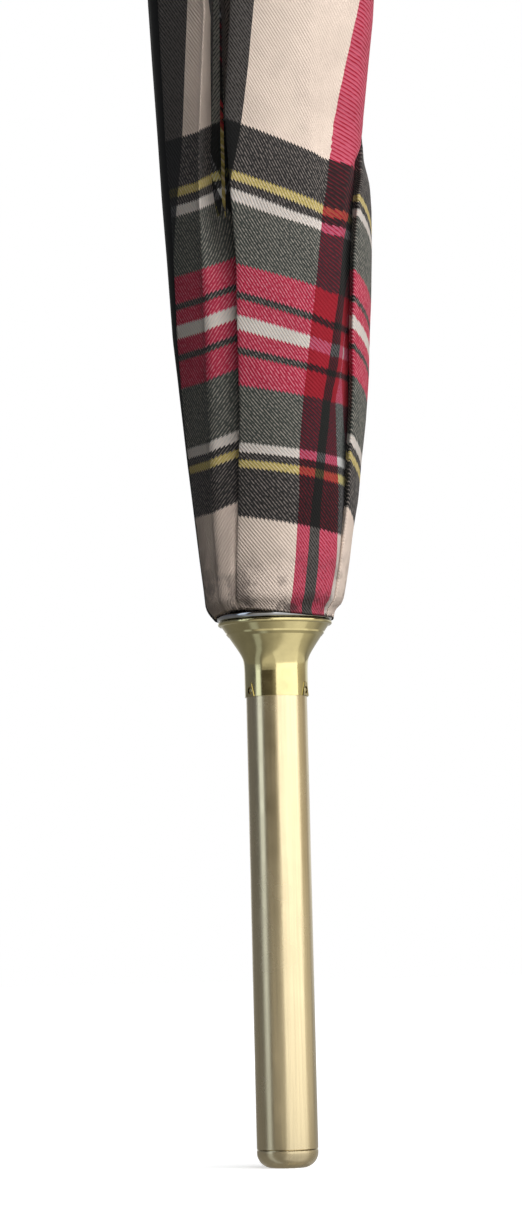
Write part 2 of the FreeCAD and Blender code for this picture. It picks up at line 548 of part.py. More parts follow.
def handle_crook():
    rings = []
    for place, lean, radius in crook_path():
        ring = Part.Wire(Part.makeCircle(radius))
        ring.rotate(V(0, 0, 0), V(0, 1, 0), lean)
        ring.translate(place)
        rings.append(ring)
    body = Part.makeLoft(rings, True, False)
    body = body.fuse(tube(SHAFT_R + SLIP, HANDLE_R - HANDLE_STEP, HANDLE_Z, HANDLE_Z + COLLAR_UP))
    body = body.fuse(Part.makeCylinder(NOSE_R - HANDLE_STEP, NOSE_PLUG_H,
                                       V(2 * CROOK_R, 0, GRIP_TOP - NOSE_DROP - NOSE_PLUG_H)))
    bore = Part.makeCylinder(SHAFT_R + SLIP, SHAFT_TOP + 1 - HANDLE_Z + 2, V(0, 0, HANDLE_Z - 2))
    body = body.cut(bore).cut(disc(HANDLE_PIN_R + SLIP, 30, 0, HANDLE_PIN_Z))
    return one(body)


def handle_collar():
    z0, z1, r = HANDLE_Z - COLLAR_DOWN, HANDLE_Z + COLLAR_UP, HANDLE_R
    return one(turned([(SHAFT_R + SLIP, z0), (r - 2.2, z0, 0.6), (r + 0.1, z0 + 2.0, 0.8),
                       (r + 0.1, z0 + 3.2, 0.4), (r + 0.75, z0 + 4.0, 0.5), (r + 0.75, z0 + 5.4, 0.5),
                       (r + 0.1, z0 + 6.2, 0.4), (r + 0.35, z1 - 0.6, 0.5), (r + 0.35, z1, 0.25),
                       (r - HANDLE_STEP + SLIP, z1), (r - HANDLE_STEP + SLIP, HANDLE_Z),
                       (SHAFT_R + SLIP, HANDLE_Z)]))


def handle_nose_cap():
    """Domed metal cap on the free end of the crook."""
    z1, r = GRIP_TOP - NOSE_DROP, NOSE_R + 0.25
    z0, plug = z1 - NOSE_CAP_H, NOSE_PLUG_H + SLIP
    face = Part.Face(outline([(0, z0 - 0.4), (r - 1.6, z0, 4.0), (r, z0 + 3.2, 2.0), (r, z1, 0.2),
                              (NOSE_R - HANDLE_STEP + SLIP, z1),
                              (NOSE_R - HANDLE_STEP + SLIP, z1 - plug), (0, z1 - plug)]))
    body = face.revolve(V(0, 0, 0), Z, 360)
    body.translate(V(2 * CROOK_R, 0, 0))
    return one(body)


def handle_pin():
    bar = disc(HANDLE_PIN_R, 2 * HANDLE_R + 0.9, 0, HANDLE_PIN_Z)
    return bar.makeFillet(0.3, [e for e in bar.Edges if e.Curve.TypeId == "Part::GeomCircle"])


# ---- everything, each piece in its own file -----------------------------------------
def main():
    os.makedirs("parts", exist_ok=True)
    save("shaft_tube", shaft_tube())
    save("ferrule_tube", ferrule_tube())
    save("ferrule_tip", ferrule_tip())
    save("crown_cap", crown_cap())
    save("cap_pins", cap_pins())
    save("crown_disc", crown_disc())
    save("notch", notch())
    save("notch_wire", wire_ring(NOTCH_Z))
    save("stop_pin", stop_pin())
    save("spring_pins", spring_pins())
    save("hand_spring", catch_spring(HAND_CATCH, -1))
    save("top_spring", catch_spring(TOP_CATCH, 1))
    save("runner_crown", runner_crown())
    save("runner_wire", wire_ring(RUNNER_Z))
    save("runner_sleeve", runner_sleeve())
    save("handle_crook", handle_crook())
    save("handle_collar", handle_collar())
    save("handle_nose_cap", handle_nose_cap())
    save("handle_pin", handle_pin())
    save("tie_strap", tie_strap())
    save("snap_cap", snap_cap())
    one_rib, one_rivet, one_tip, one_stretcher, one_gore = rib(), rivet(), rib_tip(), stretcher(), gore()
    for i in range(RIBS):
        at = FIRST_RIB + i * STEP
        save("rib_%d" % (i + 1), [turn(one_rib, at), turn(one_rivet, at)])
        save("rib_tip_%d" % (i + 1), turn(one_tip, at))
        save("stretcher_%d" % (i + 1), turn(one_stretcher, at))
        save("canopy_gore_%d" % (i + 1), turn(one_gore, at))


main()
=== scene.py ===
import math

import bpy
import numpy as np
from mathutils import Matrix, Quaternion, Vector


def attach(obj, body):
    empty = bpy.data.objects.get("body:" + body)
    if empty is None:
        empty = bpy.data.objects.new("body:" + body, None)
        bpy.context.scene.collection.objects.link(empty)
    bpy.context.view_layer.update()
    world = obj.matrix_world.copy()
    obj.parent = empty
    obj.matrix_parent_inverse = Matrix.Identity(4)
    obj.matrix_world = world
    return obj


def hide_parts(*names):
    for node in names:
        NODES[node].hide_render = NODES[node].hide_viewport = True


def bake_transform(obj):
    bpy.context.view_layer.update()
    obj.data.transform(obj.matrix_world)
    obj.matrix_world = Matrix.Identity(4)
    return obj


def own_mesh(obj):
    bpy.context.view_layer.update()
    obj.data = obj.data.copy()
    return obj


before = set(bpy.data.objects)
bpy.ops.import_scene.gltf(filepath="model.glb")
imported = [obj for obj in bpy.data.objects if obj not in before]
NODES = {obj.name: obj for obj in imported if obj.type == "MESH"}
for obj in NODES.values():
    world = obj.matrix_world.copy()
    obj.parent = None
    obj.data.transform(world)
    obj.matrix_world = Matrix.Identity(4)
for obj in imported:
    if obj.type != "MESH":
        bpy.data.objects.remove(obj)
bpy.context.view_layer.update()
MM = 0.001

# ---------------------------------------------------------------- sizes of the folded canopy, in mm
RIBS = 8
STEP = 360.0 / RIBS
FIRST_RIB = 14.0                # azimuth of rib 1; the camera looks from -90
SEAM_R = 11.7                   # panels are sewn down just outside the ribs
PIVOT_Z = 113.0                 # rib hinges in the notch
SPREAD = math.radians(42.686)   # angle between neighbouring ribs on an open panel
TURN_U = 2.10                   # sideways place of the axis a panel opens about, in the panel's own frame
EDGE = 3.61                     # distance of each seam from that axis
HEM_Z, SCALLOP = 703.0, 12.0    # hem when rolled, and how much the hem is cut back between ribs
LIP_POINTS = 3                  # points round the fold ahead of a flap's columns
FLAP_COLUMNS = 41               # points across the outer flap
TO_RIDGE, WALL = 23, 4          # of these, on the left flap: up to its ridge, and down behind it
FOLDS = 17                      # accordion folds on each side of a panel's outer flap


def table(z, pairs):
    """Value at z, on straight lines between (z, value) pairs."""
    return float(np.interp(z, [p[0] for p in pairs], [p[1] for p in pairs]))


def smooth(x, a=0.0, b=1.0):
    """Soft step from 0 at a to 1 at b."""
    t = min(1.0, max(0.0, (x - a) / (b - a)))
    return t * t * (3 - 2 * t)


# ---------------------------------------------------------------- colours and node helper
def srgb(code):
    """Linear colour from an sRGB hex code."""
    c = [int(code[i:i + 2], 16) / 255 for i in (1, 3, 5)]
    return tuple(v / 12.92 if v <= 0.04045 else ((v + 0.055) / 1.055) ** 2.4 for v in c) + (1.0,)


def add(tree, kind, inputs=None, **settings):
    """Adds one node and sets its properties; an input is a value, or a socket or node to link to."""
    node = tree.nodes.new(kind)
    for name, value in settings.items():
        setattr(node, name, value)
    for key, value in (inputs or {}).items():
        if isinstance(value, bpy.types.Node):
            value = value.outputs[0]
        if isinstance(value, bpy.types.NodeSocket):
            tree.links.new(value, node.inputs[key])
        else:
            node.inputs[key].default_value = value
    return node


def new_material(name):
    material = bpy.data.materials.new(name)
    material.use_nodes = True
    tree = material.node_tree
    tree.nodes.clear()
    return material, tree


def finish_material(tree, shader):
    out = tree.nodes.new("ShaderNodeOutputMaterial")
    tree.links.new(shader.outputs[0], out.inputs[0])


# ---------------------------------------------------------------- tartan twill
CREAM, DARK, RED = "#E4D5C9", "#161617", "#A01A34"
YELLOW, WHITE, GREEN = "#AE9F55", "#C6C5C3", "#2C312F"
# thread counts as widths in mm from the white centre outwards, to the pivot of the sett
WEFT = [(1.0, WHITE), (2.95, RED), (1.4, DARK), (5.3, RED), (11.8, GREEN), (1.8, WHITE), (1.6, DARK),
        (1.6, YELLOW), (9.4, DARK), (34.0, CREAM), (3.1, RED), (2.4, DARK), (3.9, RED), (3.4, WHITE)]
WARP = [(1.0, WHITE), (2.95, RED), (1.4, DARK), (5.3, RED), (11.8, GREEN), (1.8, WHITE), (1.6, DARK),
        (1.6, YELLOW), (9.4, DARK), (21.0, CREAM), (3.1, RED), (2.4, DARK), (3.9, RED), (3.4, WHITE)]
TWILL_PITCH = 0.80              # mm along the weft between two lines, drawn a little coarse so that it shows
WEFT_RAGGED = 0.2               # mm by which the twill steps the edge of each weft stripe
WEFT_FACE, WEFT_LINE = 0.86, 0.28       # the weft's power in the colour between and on the twill lines
BOTH_YARNS = 1.32               # the two powers together: light lost between the yarns darkens a crossing
SLUB = 0.6                      # how much uneven yarn breaks up the twill lines


def stripes(tree, coordinate, sett):
    """Mirrored stripes of the sett along one coordinate in mm."""
    half = sum(w for w, _ in sett)
    folded = add(tree, "ShaderNodeMath", {0: coordinate, 1: half}, operation="PINGPONG")
    folded = add(tree, "ShaderNodeMath", {0: folded, 1: half}, operation="DIVIDE")
    ramp = add(tree, "ShaderNodeValToRGB", {0: folded})
    ramp.color_ramp.interpolation = "CONSTANT"
    at = 0.0
    for i, (w, code) in enumerate(sett):
        if i < 2:
            stop = ramp.color_ramp.elements[i]
            stop.position = at / half
        else:
            stop = ramp.color_ramp.elements.new(at / half)
        stop.color = srgb(code)
        at += w
    return ramp


def tartan_twill(name, uv_name):
    """Yarn-dyed cotton blend, 2/2 twill: fine diagonal lines, crossings mix the two yarns."""
    material, tree = new_material(name)
    uv = add(tree, "ShaderNodeUVMap", uv_map=uv_name)
    cloth_mm = add(tree, "ShaderNodeVectorMath", {0: uv, "Scale": 1000.0}, operation="SCALE")
    xy = add(tree, "ShaderNodeSeparateXYZ", {0: cloth_mm})
    x, y = xy.outputs[0], xy.outputs[1]
    both = add(tree, "ShaderNodeMath", {0: x, 1: y}, operation="ADD")
    phase = add(tree, "ShaderNodeMath", {0: both, 1: 2 * math.pi / TWILL_PITCH}, operation="MULTIPLY")
    wave = add(tree, "ShaderNodeMath", {0: phase}, operation="SINE")
    ragged = add(tree, "ShaderNodeMath", {0: wave, 1: WEFT_RAGGED, 2: y}, operation="MULTIPLY_ADD")
    yarn = add(tree, "ShaderNodeTexNoise", {"Vector": cloth_mm, "Scale": 1.6, "Detail": 1.0})
    slub = add(tree, "ShaderNodeMath", {0: yarn, 1: 0.5}, operation="SUBTRACT")
    uneven = add(tree, "ShaderNodeMath", {0: slub, 1: 4.0 * SLUB, 2: wave}, operation="MULTIPLY_ADD")
    warp, weft = stripes(tree, x, WARP), stripes(tree, ragged, WEFT)
    share = add(tree, "ShaderNodeMapRange", {0: uneven, 1: 0.15, 2: 0.95, 3: WEFT_FACE, 4: WEFT_LINE})
    rest = add(tree, "ShaderNodeMath", {0: BOTH_YARNS, 1: share}, operation="SUBTRACT")
    warp_part = add(tree, "ShaderNodeGamma", {0: warp, 1: rest})
    weft_part = add(tree, "ShaderNodeGamma", {0: weft, 1: share})
    mixed = add(tree, "ShaderNodeMix", {0: 1.0, 6: warp_part, 7: weft_part}, data_type="RGBA",
                blend_type="MULTIPLY")
    # yarns are never quite even: slow changes of shade along the cloth
    even = add(tree, "ShaderNodeTexNoise", {"Vector": cloth_mm, "Scale": 0.12, "Detail": 3.0})
    shade = add(tree, "ShaderNodeMapRange", {0: even, 1: 0.35, 2: 0.65, 3: 0.93, 4: 1.04})
    toned = add(tree, "ShaderNodeMix", {0: 1.0, 6: mixed.outputs[2], 7: shade}, data_type="RGBA",
                blend_type="MULTIPLY")
    # dark blotches of 2 to 6 mm on the pale cloth where it is gathered at the crown, strongest at the cap and
    # gone 13 mm above it
    place = add(tree, "ShaderNodeTexCoord")
    high = add(tree, "ShaderNodeSeparateXYZ", {0: place.outputs["Object"]})
    near = add(tree, "ShaderNodeMapRange", {0: high.outputs[2], 1: 0.1085, 2: 0.1215, 3: 1.0, 4: 0.0})
    spots = add(tree, "ShaderNodeTexNoise", {"Vector": place.outputs["Object"], "Scale": 185.0, "Detail": 4.0,
                                             "Roughness": 0.65})
    blotch_depth = add(tree, "ShaderNodeMapRange", {0: spots, 1: 0.50, 2: 0.62, 3: 0.0, 4: 0.85})
    blotch = add(tree, "ShaderNodeMath", {0: blotch_depth, 1: near}, operation="MULTIPLY")
    blotched = add(tree, "ShaderNodeMix", {0: blotch, 6: toned.outputs[2], 7: srgb("#3A3030")}, data_type="RGBA")
    # the yarns stand up in ridges along the twill lines, with broad soft creases under them
    creases = add(tree, "ShaderNodeTexNoise", {"Vector": cloth_mm, "Scale": 0.09, "Detail": 2.0})
    crease_bump = add(tree, "ShaderNodeBump", {"Height": creases, "Strength": 0.35, "Distance": 0.0012})
    bump = add(tree, "ShaderNodeBump", {"Height": wave, "Strength": 0.5, "Distance": 0.00008,
                                        "Normal": crease_bump})
    shader = add(tree, "ShaderNodeBsdfPrincipled", {"Base Color": blotched.outputs[2], "Normal": bump,
                                                    "Roughness": 0.75, "Specular IOR Level": 0.2,
                                                    "Sheen Weight": 0.04, "Sheen Roughness": 0.5})
    finish_material(tree, shader)
    return material


def polished_metal(name, code, roughness, wavy, wave_mm):
    """Pressed and polished sheet metal: sharp reflections that waver a little, fine polishing haze."""
    material, tree = new_material(name)
    place = add(tree, "ShaderNodeTexCoord")
    dents = add(tree, "ShaderNodeTexNoise", {"Vector": place.outputs["Object"], "Scale": 1000.0 / wave_mm,
                                             "Detail": 2.0})
    bump = add(tree, "ShaderNodeBump", {"Height": dents, "Strength": 1.0, "Distance": wavy * MM})
    haze = add(tree, "ShaderNodeTexNoise", {"Vector": place.outputs["Object"], "Scale": 350.0, "Detail": 4.0})
    rough = add(tree, "ShaderNodeMapRange", {0: haze, 1: 0.3, 2: 0.7, 3: 0.75 * roughness,
                                             4: 1.35 * roughness})
    tint = add(tree, "ShaderNodeMapRange", {0: haze, 1: 0.3, 2: 0.7, 3: 0.9, 4: 1.08})
    colour = add(tree, "ShaderNodeMix", {0: 1.0, 6: srgb(code), 7: tint}, data_type="RGBA",
                 blend_type="MULTIPLY")
    shader = add(tree, "ShaderNodeBsdfPrincipled", {"Base Color": colour.outputs[2], "Metallic": 1.0,
                                                    "Roughness": rough, "Normal": bump})
    finish_material(tree, shader)
    return material


def satin_metal(name, code, roughness, grain_mm):
    """Drawn tube with a satin plate: hair-fine lines along it blur the reflections sideways."""
    material, tree = new_material(name)
    place = add(tree, "ShaderNodeTexCoord")
    drawn = add(tree, "ShaderNodeMapping", {0: place.outputs["Object"], "Scale": (1.0, 1.0, 0.02)})
    lines = add(tree, "ShaderNodeTexNoise", {"Vector": drawn, "Scale": 1000.0 / grain_mm, "Detail": 3.0})
    bump = add(tree, "ShaderNodeBump", {"Height": lines, "Strength": 0.25, "Distance": 0.00002})
    worn = add(tree, "ShaderNodeTexNoise", {"Vector": place.outputs["Object"], "Scale": 120.0, "Detail": 5.0})
    rough = add(tree, "ShaderNodeMapRange", {0: worn, 1: 0.3, 2: 0.7, 3: 0.8 * roughness,
                                             4: 1.25 * roughness})
    tint = add(tree, "ShaderNodeMapRange", {0: lines, 1: 0.3, 2: 0.7, 3: 0.92, 4: 1.05})
    colour = add(tree, "ShaderNodeMix", {0: 1.0, 6: srgb(code), 7: tint}, data_type="RGBA",
                 blend_type="MULTIPLY")
    shader = add(tree, "ShaderNodeBsdfPrincipled", {"Base Color": colour.outputs[2], "Metallic": 1.0,
                                                    "Roughness": rough, "Normal": bump})
    finish_material(tree, shader)
    return material


def coated(name, code, roughness, grain_mm, relief):
    """Enamel or moulded plastic: even colour with a faint skin texture."""
    material, tree = new_material(name)
    place = add(tree, "ShaderNodeTexCoord")
    skin = add(tree, "ShaderNodeTexNoise", {"Vector": place.outputs["Object"], "Scale": 1000.0 / grain_mm,
                                            "Detail": 3.0})
    bump = add(tree, "ShaderNodeBump", {"Height": skin, "Strength": 0.4, "Distance": relief * MM})
    rough = add(tree, "ShaderNodeMapRange", {0: skin, 1: 0.3, 2: 0.7, 3: 0.8 * roughness, 4: 1.2 * roughness})
    shader = add(tree, "ShaderNodeBsdfPrincipled", {"Base Color": srgb(code), "Roughness": rough,
                                                    "Normal": bump})
    finish_material(tree, shader)
    return material


CROOK_R, CROOK_Z = 0.042, 0.836  # the handle's bend, in metres


def lacquered_maple():
    """Steam-bent maple, stained warm brown under clear lacquer: long grain lines, pores and a gloss coat."""
    material, tree = new_material("steam_bent_maple_lacquered")
    place = add(tree, "ShaderNodeTexCoord")
    part = add(tree, "ShaderNodeSeparateXYZ", {0: place.outputs["Object"]})
    # the grain follows the bent stick: unrolled round the crook's centre, CROOK_R beside the shaft
    up = add(tree, "ShaderNodeMath", {0: part.outputs[2], 1: CROOK_Z}, operation="SUBTRACT")
    over = add(tree, "ShaderNodeMath", {0: up, 1: 0.0}, operation="MAXIMUM")
    under = add(tree, "ShaderNodeMath", {0: up, 1: 0.0}, operation="MINIMUM")
    aside = add(tree, "ShaderNodeMath", {0: CROOK_R, 1: part.outputs[0]}, operation="SUBTRACT")
    angle = add(tree, "ShaderNodeMath", {0: over, 1: aside}, operation="ARCTAN2")
    length = add(tree, "ShaderNodeMath", {0: angle, 1: CROOK_R, 2: under}, operation="MULTIPLY_ADD")
    flat = add(tree, "ShaderNodeCombineXYZ", {0: aside, 1: over})
    reach = add(tree, "ShaderNodeVectorMath", {0: flat}, operation="LENGTH")
    stick = add(tree, "ShaderNodeCombineXYZ", {0: reach.outputs["Value"], 1: length, 2: part.outputs[1]})
    along = add(tree, "ShaderNodeMapping", {0: stick, "Scale": (1.0, 0.06, 1.0)})
    rings = add(tree, "ShaderNodeTexNoise", {"Vector": along, "Scale": 380.0, "Detail": 5.0,
                                             "Distortion": 0.6})
    tone = add(tree, "ShaderNodeValToRGB", {0: rings})
    for stop, (at, code) in zip(tone.color_ramp.elements, ((0.35, "#5E3217"), (0.68, "#9A6234"))):
        stop.position, stop.color = at, srgb(code)
    fine = add(tree, "ShaderNodeMapping", {0: stick, "Scale": (1.0, 0.03, 1.0)})
    pores = add(tree, "ShaderNodeTexNoise", {"Vector": fine, "Scale": 1900.0, "Detail": 2.0})
    pore_shade = add(tree, "ShaderNodeMapRange", {0: pores, 1: 0.62, 2: 0.75, 3: 1.0, 4: 0.72})
    colour = add(tree, "ShaderNodeMix", {0: 1.0, 6: tone, 7: pore_shade}, data_type="RGBA",
                 blend_type="MULTIPLY")
    bump = add(tree, "ShaderNodeBump", {"Height": pores, "Strength": 0.15, "Distance": 0.00005})
    shader = add(tree, "ShaderNodeBsdfPrincipled", {"Base Color": colour.outputs[2], "Roughness": 0.38,
                                                    "Normal": bump, "Coat Weight": 0.6,
                                                    "Coat Roughness": 0.08})
    finish_material(tree, shader)
    return material


# woven cloth: matt, with fine slanting lines and mixed colours where the stripes cross
CLOTH = tartan_twill("tartan_cotton_twill_yarn_dyed", "cloth")
# pressed and polished: the room stands in it as sharp bands, wavering a little
BRASS = polished_metal("brass_sheet_pressed_polished", "#BDB386", 0.12, 0.012, 2.4)
# drawn and satin plated: one soft streak along the tube
SATIN_GOLD = satin_metal("steel_tube_satin_gold_plate", "#C6B999", 0.24, 0.5)
# zinc plated: bright, but with soft edges to its reflections
STEEL = polished_metal("steel_bright_zinc_plate", "#B4B6B8", 0.28, 0.004, 1.5)
# enamelled: black with a low gloss and a faint orange skin
BLACK_STEEL = coated("steel_channel_black_enamel", "#141416", 0.32, 1.2, 0.01)
# blued by heat: darker than the plated steel, with a clear gloss
SPRING_STEEL = polished_metal("steel_spring_blued", "#8E9096", 0.25, 0.004, 1.5)
# stained and lacquered: grain that runs round the bend, under a coat of gloss
WOOD = lacquered_maple()
# plated moulding: a dark mirror that shows the window as a white line
RING_CHROME = polished_metal("moulded_ring_black_chrome_plate", "#9EA0A4", 0.07, 0.004, 2.0)
# sewing thread: nearly black and matt
THREAD = coated("polyester_sewing_thread_black", "#1B1A1C", 0.6, 0.4, 0.02)
# moulded nylon: black with a dull sheen
TIP_PLASTIC = coated("nylon_black_moulded", "#17171A", 0.42, 0.6, 0.02)


# ---------------------------------------------------------------- outside of the roll
# radius of the roll on the left and on the right as it stands in the picture, against height
LEFT_R = [(107.9, 11.9), (108.5, 12.4), (109.1, 12.9), (109.9, 13.4), (111, 13.7), (114.3, 14.0),
          (120.4, 14.65), (132.4, 15.8), (140.5, 16.6), (156.7, 18.05), (164.8, 18.85), (181, 19.7),
          (193.3, 20.45), (205.5, 21.0), (222, 21.85), (233.9, 22.4), (280, 23.7), (340, 24.2),
          (450, 23.4), (560, 20.7), (640, 17.8), (703, 15.0)]
RIGHT_R = [(107.9, 11.7), (108.5, 11.75), (109.3, 11.9), (110.1, 12.4), (110.9, 13.3), (111.7, 13.7),
           (113.7, 14.1), (119.6, 15.1), (125.6, 15.85), (131.6, 16.8), (139.7, 17.4), (147.7, 18.3),
           (156, 19.1), (164, 19.5), (172, 20.0), (180, 20.3), (190, 20.45), (196, 20.2),
           (200, 19.9), (204.5, 19.75), (208.6, 20.0), (212.7, 20.5), (221, 21.5), (229, 22.5), (233, 22.8),
           (280, 23.9), (340, 24.2), (450, 23.4), (560, 20.7),
           (640, 17.8), (703, 15.0)]
# azimuths of the folded edges and of the left flap's ridge, against height
FOLD_6 = [(107, -172), (148, -168), (169, -160), (189, -156), (203, -158), (228, -155), (300, -152)]
FOLD_7 = [(107.5, -123.5), (110, -122.6), (128.5, -114.3), (147.6, -108.8), (177, -106.8), (206.6, -110.6),
          (226.3, -105), (232, -104), (300, -104)]
FOLD_8 = [(108, -28), (118, -25), (126, -24), (140, -29), (164.8, -33.5), (178.6, -33), (191, -28),
          (198.5, -17), (203, 0), (208, 12), (236, 12), (290, -20)]
UNDERCUT = 11.0                 # degrees by which the left flap turns back under its ridge, higher up
FACET_7, FACET_END_7 = -62, -24         # soft upright creases down the front flap
RIDGE = [(106, -140), (127, -137), (162, -129.5), (190, -128), (201, -126.8), (227, -118.5), (300, -121)]


def fold_edge(k, z):
    """Azimuth of the outer flap's folded edge of panel k, unwrapped near its rib."""
    six, eight = table(z, FOLD_6), table(z, FOLD_8)
    if k == 6:
        return six + 360
    if k == 7:
        return table(z, FOLD_7) + 360
    if k == 8:
        return eight + 360
    if k == 9:
        return eight + 360 + (360 + six - eight) / 6
    return eight + k * (360 + six - eight) / 6


def roll_radius(z, azimuth):
    """Radius of the whole roll, between its left and right outlines."""
    c = math.cos(math.radians(azimuth))
    return table(z, LEFT_R) * (1 - c) / 2 + table(z, RIGHT_R) * (1 + c) / 2


def flattened(r, azimuth, start, end):
    """How far a flat face between two azimuths lies inside the round of radius r."""
    half = math.radians(end - start) / 2
    return r * (1 - math.cos(half) / math.cos(math.radians(azimuth - start) - half))


def flap_radius(k, z, azimuth):
    """Radius of panel k's outer layer: full at its fold, tucked in under the next flap."""
    r = roll_radius(z, azimuth)
    nxt = fold_edge(k + 1, z)
    room = min(1.0, max(0.25, (r - SEAM_R) / 6.0))
    r += 0.25 * room
    if k == 6:
        ridge, edge = table(z, RIDGE) + 360, fold_edge(k, z)
        if edge < azimuth < ridge:
            r -= 0.85 * smooth(z, 112, 150) * flattened(r, azimuth, edge, ridge)
        r += 0.35 * math.exp(-((azimuth - ridge) / 2.5) ** 2)
    else:
        r -= 1.5 * room * smooth(azimuth, nxt - 13, nxt + 2)
    if k == 7:
        edge = fold_edge(k, z)
        for start, end in ((edge, FACET_7 + 360), (FACET_7 + 360, min(nxt, FACET_END_7 + 360))):
            if start < azimuth < end:
                r -= 0.5 * smooth(z, 125, 180) * flattened(r, azimuth, start, end)
    if k == 8:
        r += 0.75 * (1 - smooth(z, 194, 201)) * smooth(z, 120, 150)
    return r


def panel_width(rho):
    """Width in mm of the flat cloth at a distance from its hinge."""
    return rho * SPREAD + 2 * EDGE


def side_angle(t, rho):
    """Angle from the first seam of the point at share t across the flat cloth."""
    lean = math.asin(min(1.0, EDGE / max(rho, EDGE)))
    return -lean + t * (SPREAD + 2 * lean)


# ---------------------------------------------------------------- where the pattern lies on the cloth
# shift of each panel's pattern in mm, as the panels are cut from different places on the roll
GRAIN = {1: (8.0, 30.0), 2: (40.0, -12.0), 3: (-20.0, 55.0), 4: (60.0, 10.0), 5: (-38.0, 3.0),
         6: (0.0, 0.0), 7: (0.0, 0.0), 8: (0.0, 0.0)}
# where the stripes lie on the front flap: arc length from the middle, against height
CREAM_LEFT = [(97, -18.8), (138, -15.2), (180, -9.5), (201.8, -5.0), (214.6, -3.0), (226.3, -1.6), (256, 2.0)]
CREAM_RIGHT = [(97, 2.2), (108, 3.0), (118, 4.1), (130, 5.0), (140, 5.3), (150, 6.3), (186, 11.3),
               (204, 15.6), (230, 23.1), (256, 31)]
RED_RIGHT = [(108, 5.6), (118, 6.6), (130, 7.7), (150, 10.5), (172, 15.5), (182, 17.6), (190, 22), (204, 34),
             (256, 52)]
BLACK_RIGHT = [(108, 8.0), (118, 8.9), (130, 9.5), (150, 12.5), (172, 18.5), (182, 23), (190, 30), (204, 44),
               (256, 62)]
WHITE_LEFT = [(108, 12.0), (118, 14.3), (130, 14.0), (150, 13.4), (155, 15.2), (172, 22), (190, 34),
              (204, 48), (256, 66)]
WHITE_RIGHT = [(108, 18.5), (118, 20.5), (130, 21.4), (140, 20), (148, 16.8), (155, 15.2), (172, 22),
               (190, 34), (204, 48), (256, 66)]
WARP_EDGES = (36.85, 57.85, 60.95, 63.35, 67.25, 74.05)     # the same stripes in the sett
WEFT_7 = [(108, -54), (125.3, -36.85), (136.2, -26.65), (150.7, -10.65), (162.6, 1.0), (173.1, 10.65),
          (186.4, 24.25), (190.3, 27.45), (200.3, 36.85), (240, 75)]
WEFT_6 = [(108, -56), (128.5, -36.85), (141.3, -23.4), (165.2, 0), (176, 10.65), (188.8, 23.4),
          (203.3, 36.85), (240, 72)]
CREAM_LEFT_6 = [(98, -31), (148, -28), (178.6, -23.6), (200, -19.5), (227.7, -16.5), (258, -13)]
WEFT_LEAN = [(108, 0.18), (139, 0.15), (151, 0.175), (163, 0.288), (174, 0.29), (187, 0.32), (200, 0.36),
             (240, 0.38)]


def dressed(k, z, azimuth, down):
    """Pattern coordinates in mm of the outer flap near the crown, or None.

    down is the way in mm past the left flap's ridge.
    """
    along = math.radians(azimuth - 270) * table(z, LEFT_R)
    if k == 7:
        spots = [table(z, t) for t in (CREAM_LEFT, CREAM_RIGHT, RED_RIGHT, BLACK_RIGHT, WHITE_LEFT,
                                       WHITE_RIGHT)]
        if along < spots[0]:
            x = WARP_EDGES[0] + along - spots[0]
        elif along > spots[-1]:
            x = WARP_EDGES[-1] + along - spots[-1]
        else:
            x = float(np.interp(along, spots, WARP_EDGES))
        lean = table(z, WEFT_LEAN) * (along - 0.95 * max(0.0, along - 13.0) - 5.2)
        return x, table(z, WEFT_7) + lean
    if k == 6:
        if down:
            along = math.radians(table(z, RIDGE) + 90) * table(z, LEFT_R)
        return WARP_EDGES[0] + along - 0.85 * down - table(z, CREAM_LEFT_6), table(z, WEFT_6) - 0.35 * down
    if k == 8:
        d = along - 21.0
        return 46.0 + 0.5 * d, min(z - 164.2 + 0.5 * d + 0.02 * d * abs(d), 36.0)
    # panel 5's strip at the far left: warp and weft held in the black stripes, the weft stretched fifty-fold
    # so no other stripe shows there; partly the cloth's own black, partly painted shade standing in for the
    # deep shade on that side
    if k == 5:
        return 33.0 + 0.1 * along, 32.0 + 0.02 * (z - 160.0)
    return None


# how far the edge sewn down at the crown is drawn up off the ring, against azimuth
DRAWN_UP = [(-180, 0.1), (-165, 0.7), (-148, 1.15), (-128, 1.4), (-110, 1.25), (-95, 0.8), (-75, 0.3),
            (-55, 0.0), (60, 0.0), (120, 0.2), (180, 0.1)]


def hem_lift(z, azimuth):
    """How far in mm the cloth is drawn up off the ring."""
    return table((azimuth + 180) % 360 - 180, DRAWN_UP) * (1 - smooth(z, 107.9, 112.5))


def panel_rows():
    """Heights of a panel's rows in mm; the first ones, with a radius, are the edge turned in at the crown."""
    low = [(110.3, 10.4), (110.0, 11.0), (109.4, 11.6)]
    zs = [107.9, 108.4, 108.95, 109.5, 110.2, 111.0, 112.0]
    z = 113.0
    while z < 236:
        zs.append(z)
        z += 1.5
    while z < HEM_Z - 6:
        zs.append(z)
        z += 9.0
    zs += [HEM_Z - 3, HEM_Z]
    return low, zs


def flap_line(k, z, start, end):
    """The outer flap's columns as (azimuth, radius); the left flap turns under behind its ridge."""
    if k != 6:
        return [(a, flap_radius(k, z, a)) for a in np.linspace(start, end, FLAP_COLUMNS)]
    ridge, nxt = table(z, RIDGE) + 360, fold_edge(7, z)
    room = min(1.0, max(0.25, (roll_radius(z, ridge) - SEAM_R) / 6.0))
    gape = smooth(z, 166, 200)
    depth = (1.0 + 2.0 * smooth(z, 112, 150) + 5.0 * gape) * room
    foot = ridge + 0.75 * (1 - gape) * (nxt - ridge) - UNDERCUT * gape
    line = [(a, flap_radius(6, z, a)) for a in np.linspace(start, ridge, TO_RIDGE)]
    top = line[-1][1]
    for i in range(1, WALL + 1):
        line.append((ridge + (foot - ridge) * i / WALL, top - depth * smooth(i / WALL)))
    beyond = np.linspace(foot, end, FLAP_COLUMNS - TO_RIDGE - WALL + 1)[1:]
    return line + [(a, flap_radius(6, z, a) - depth) for a in beyond]


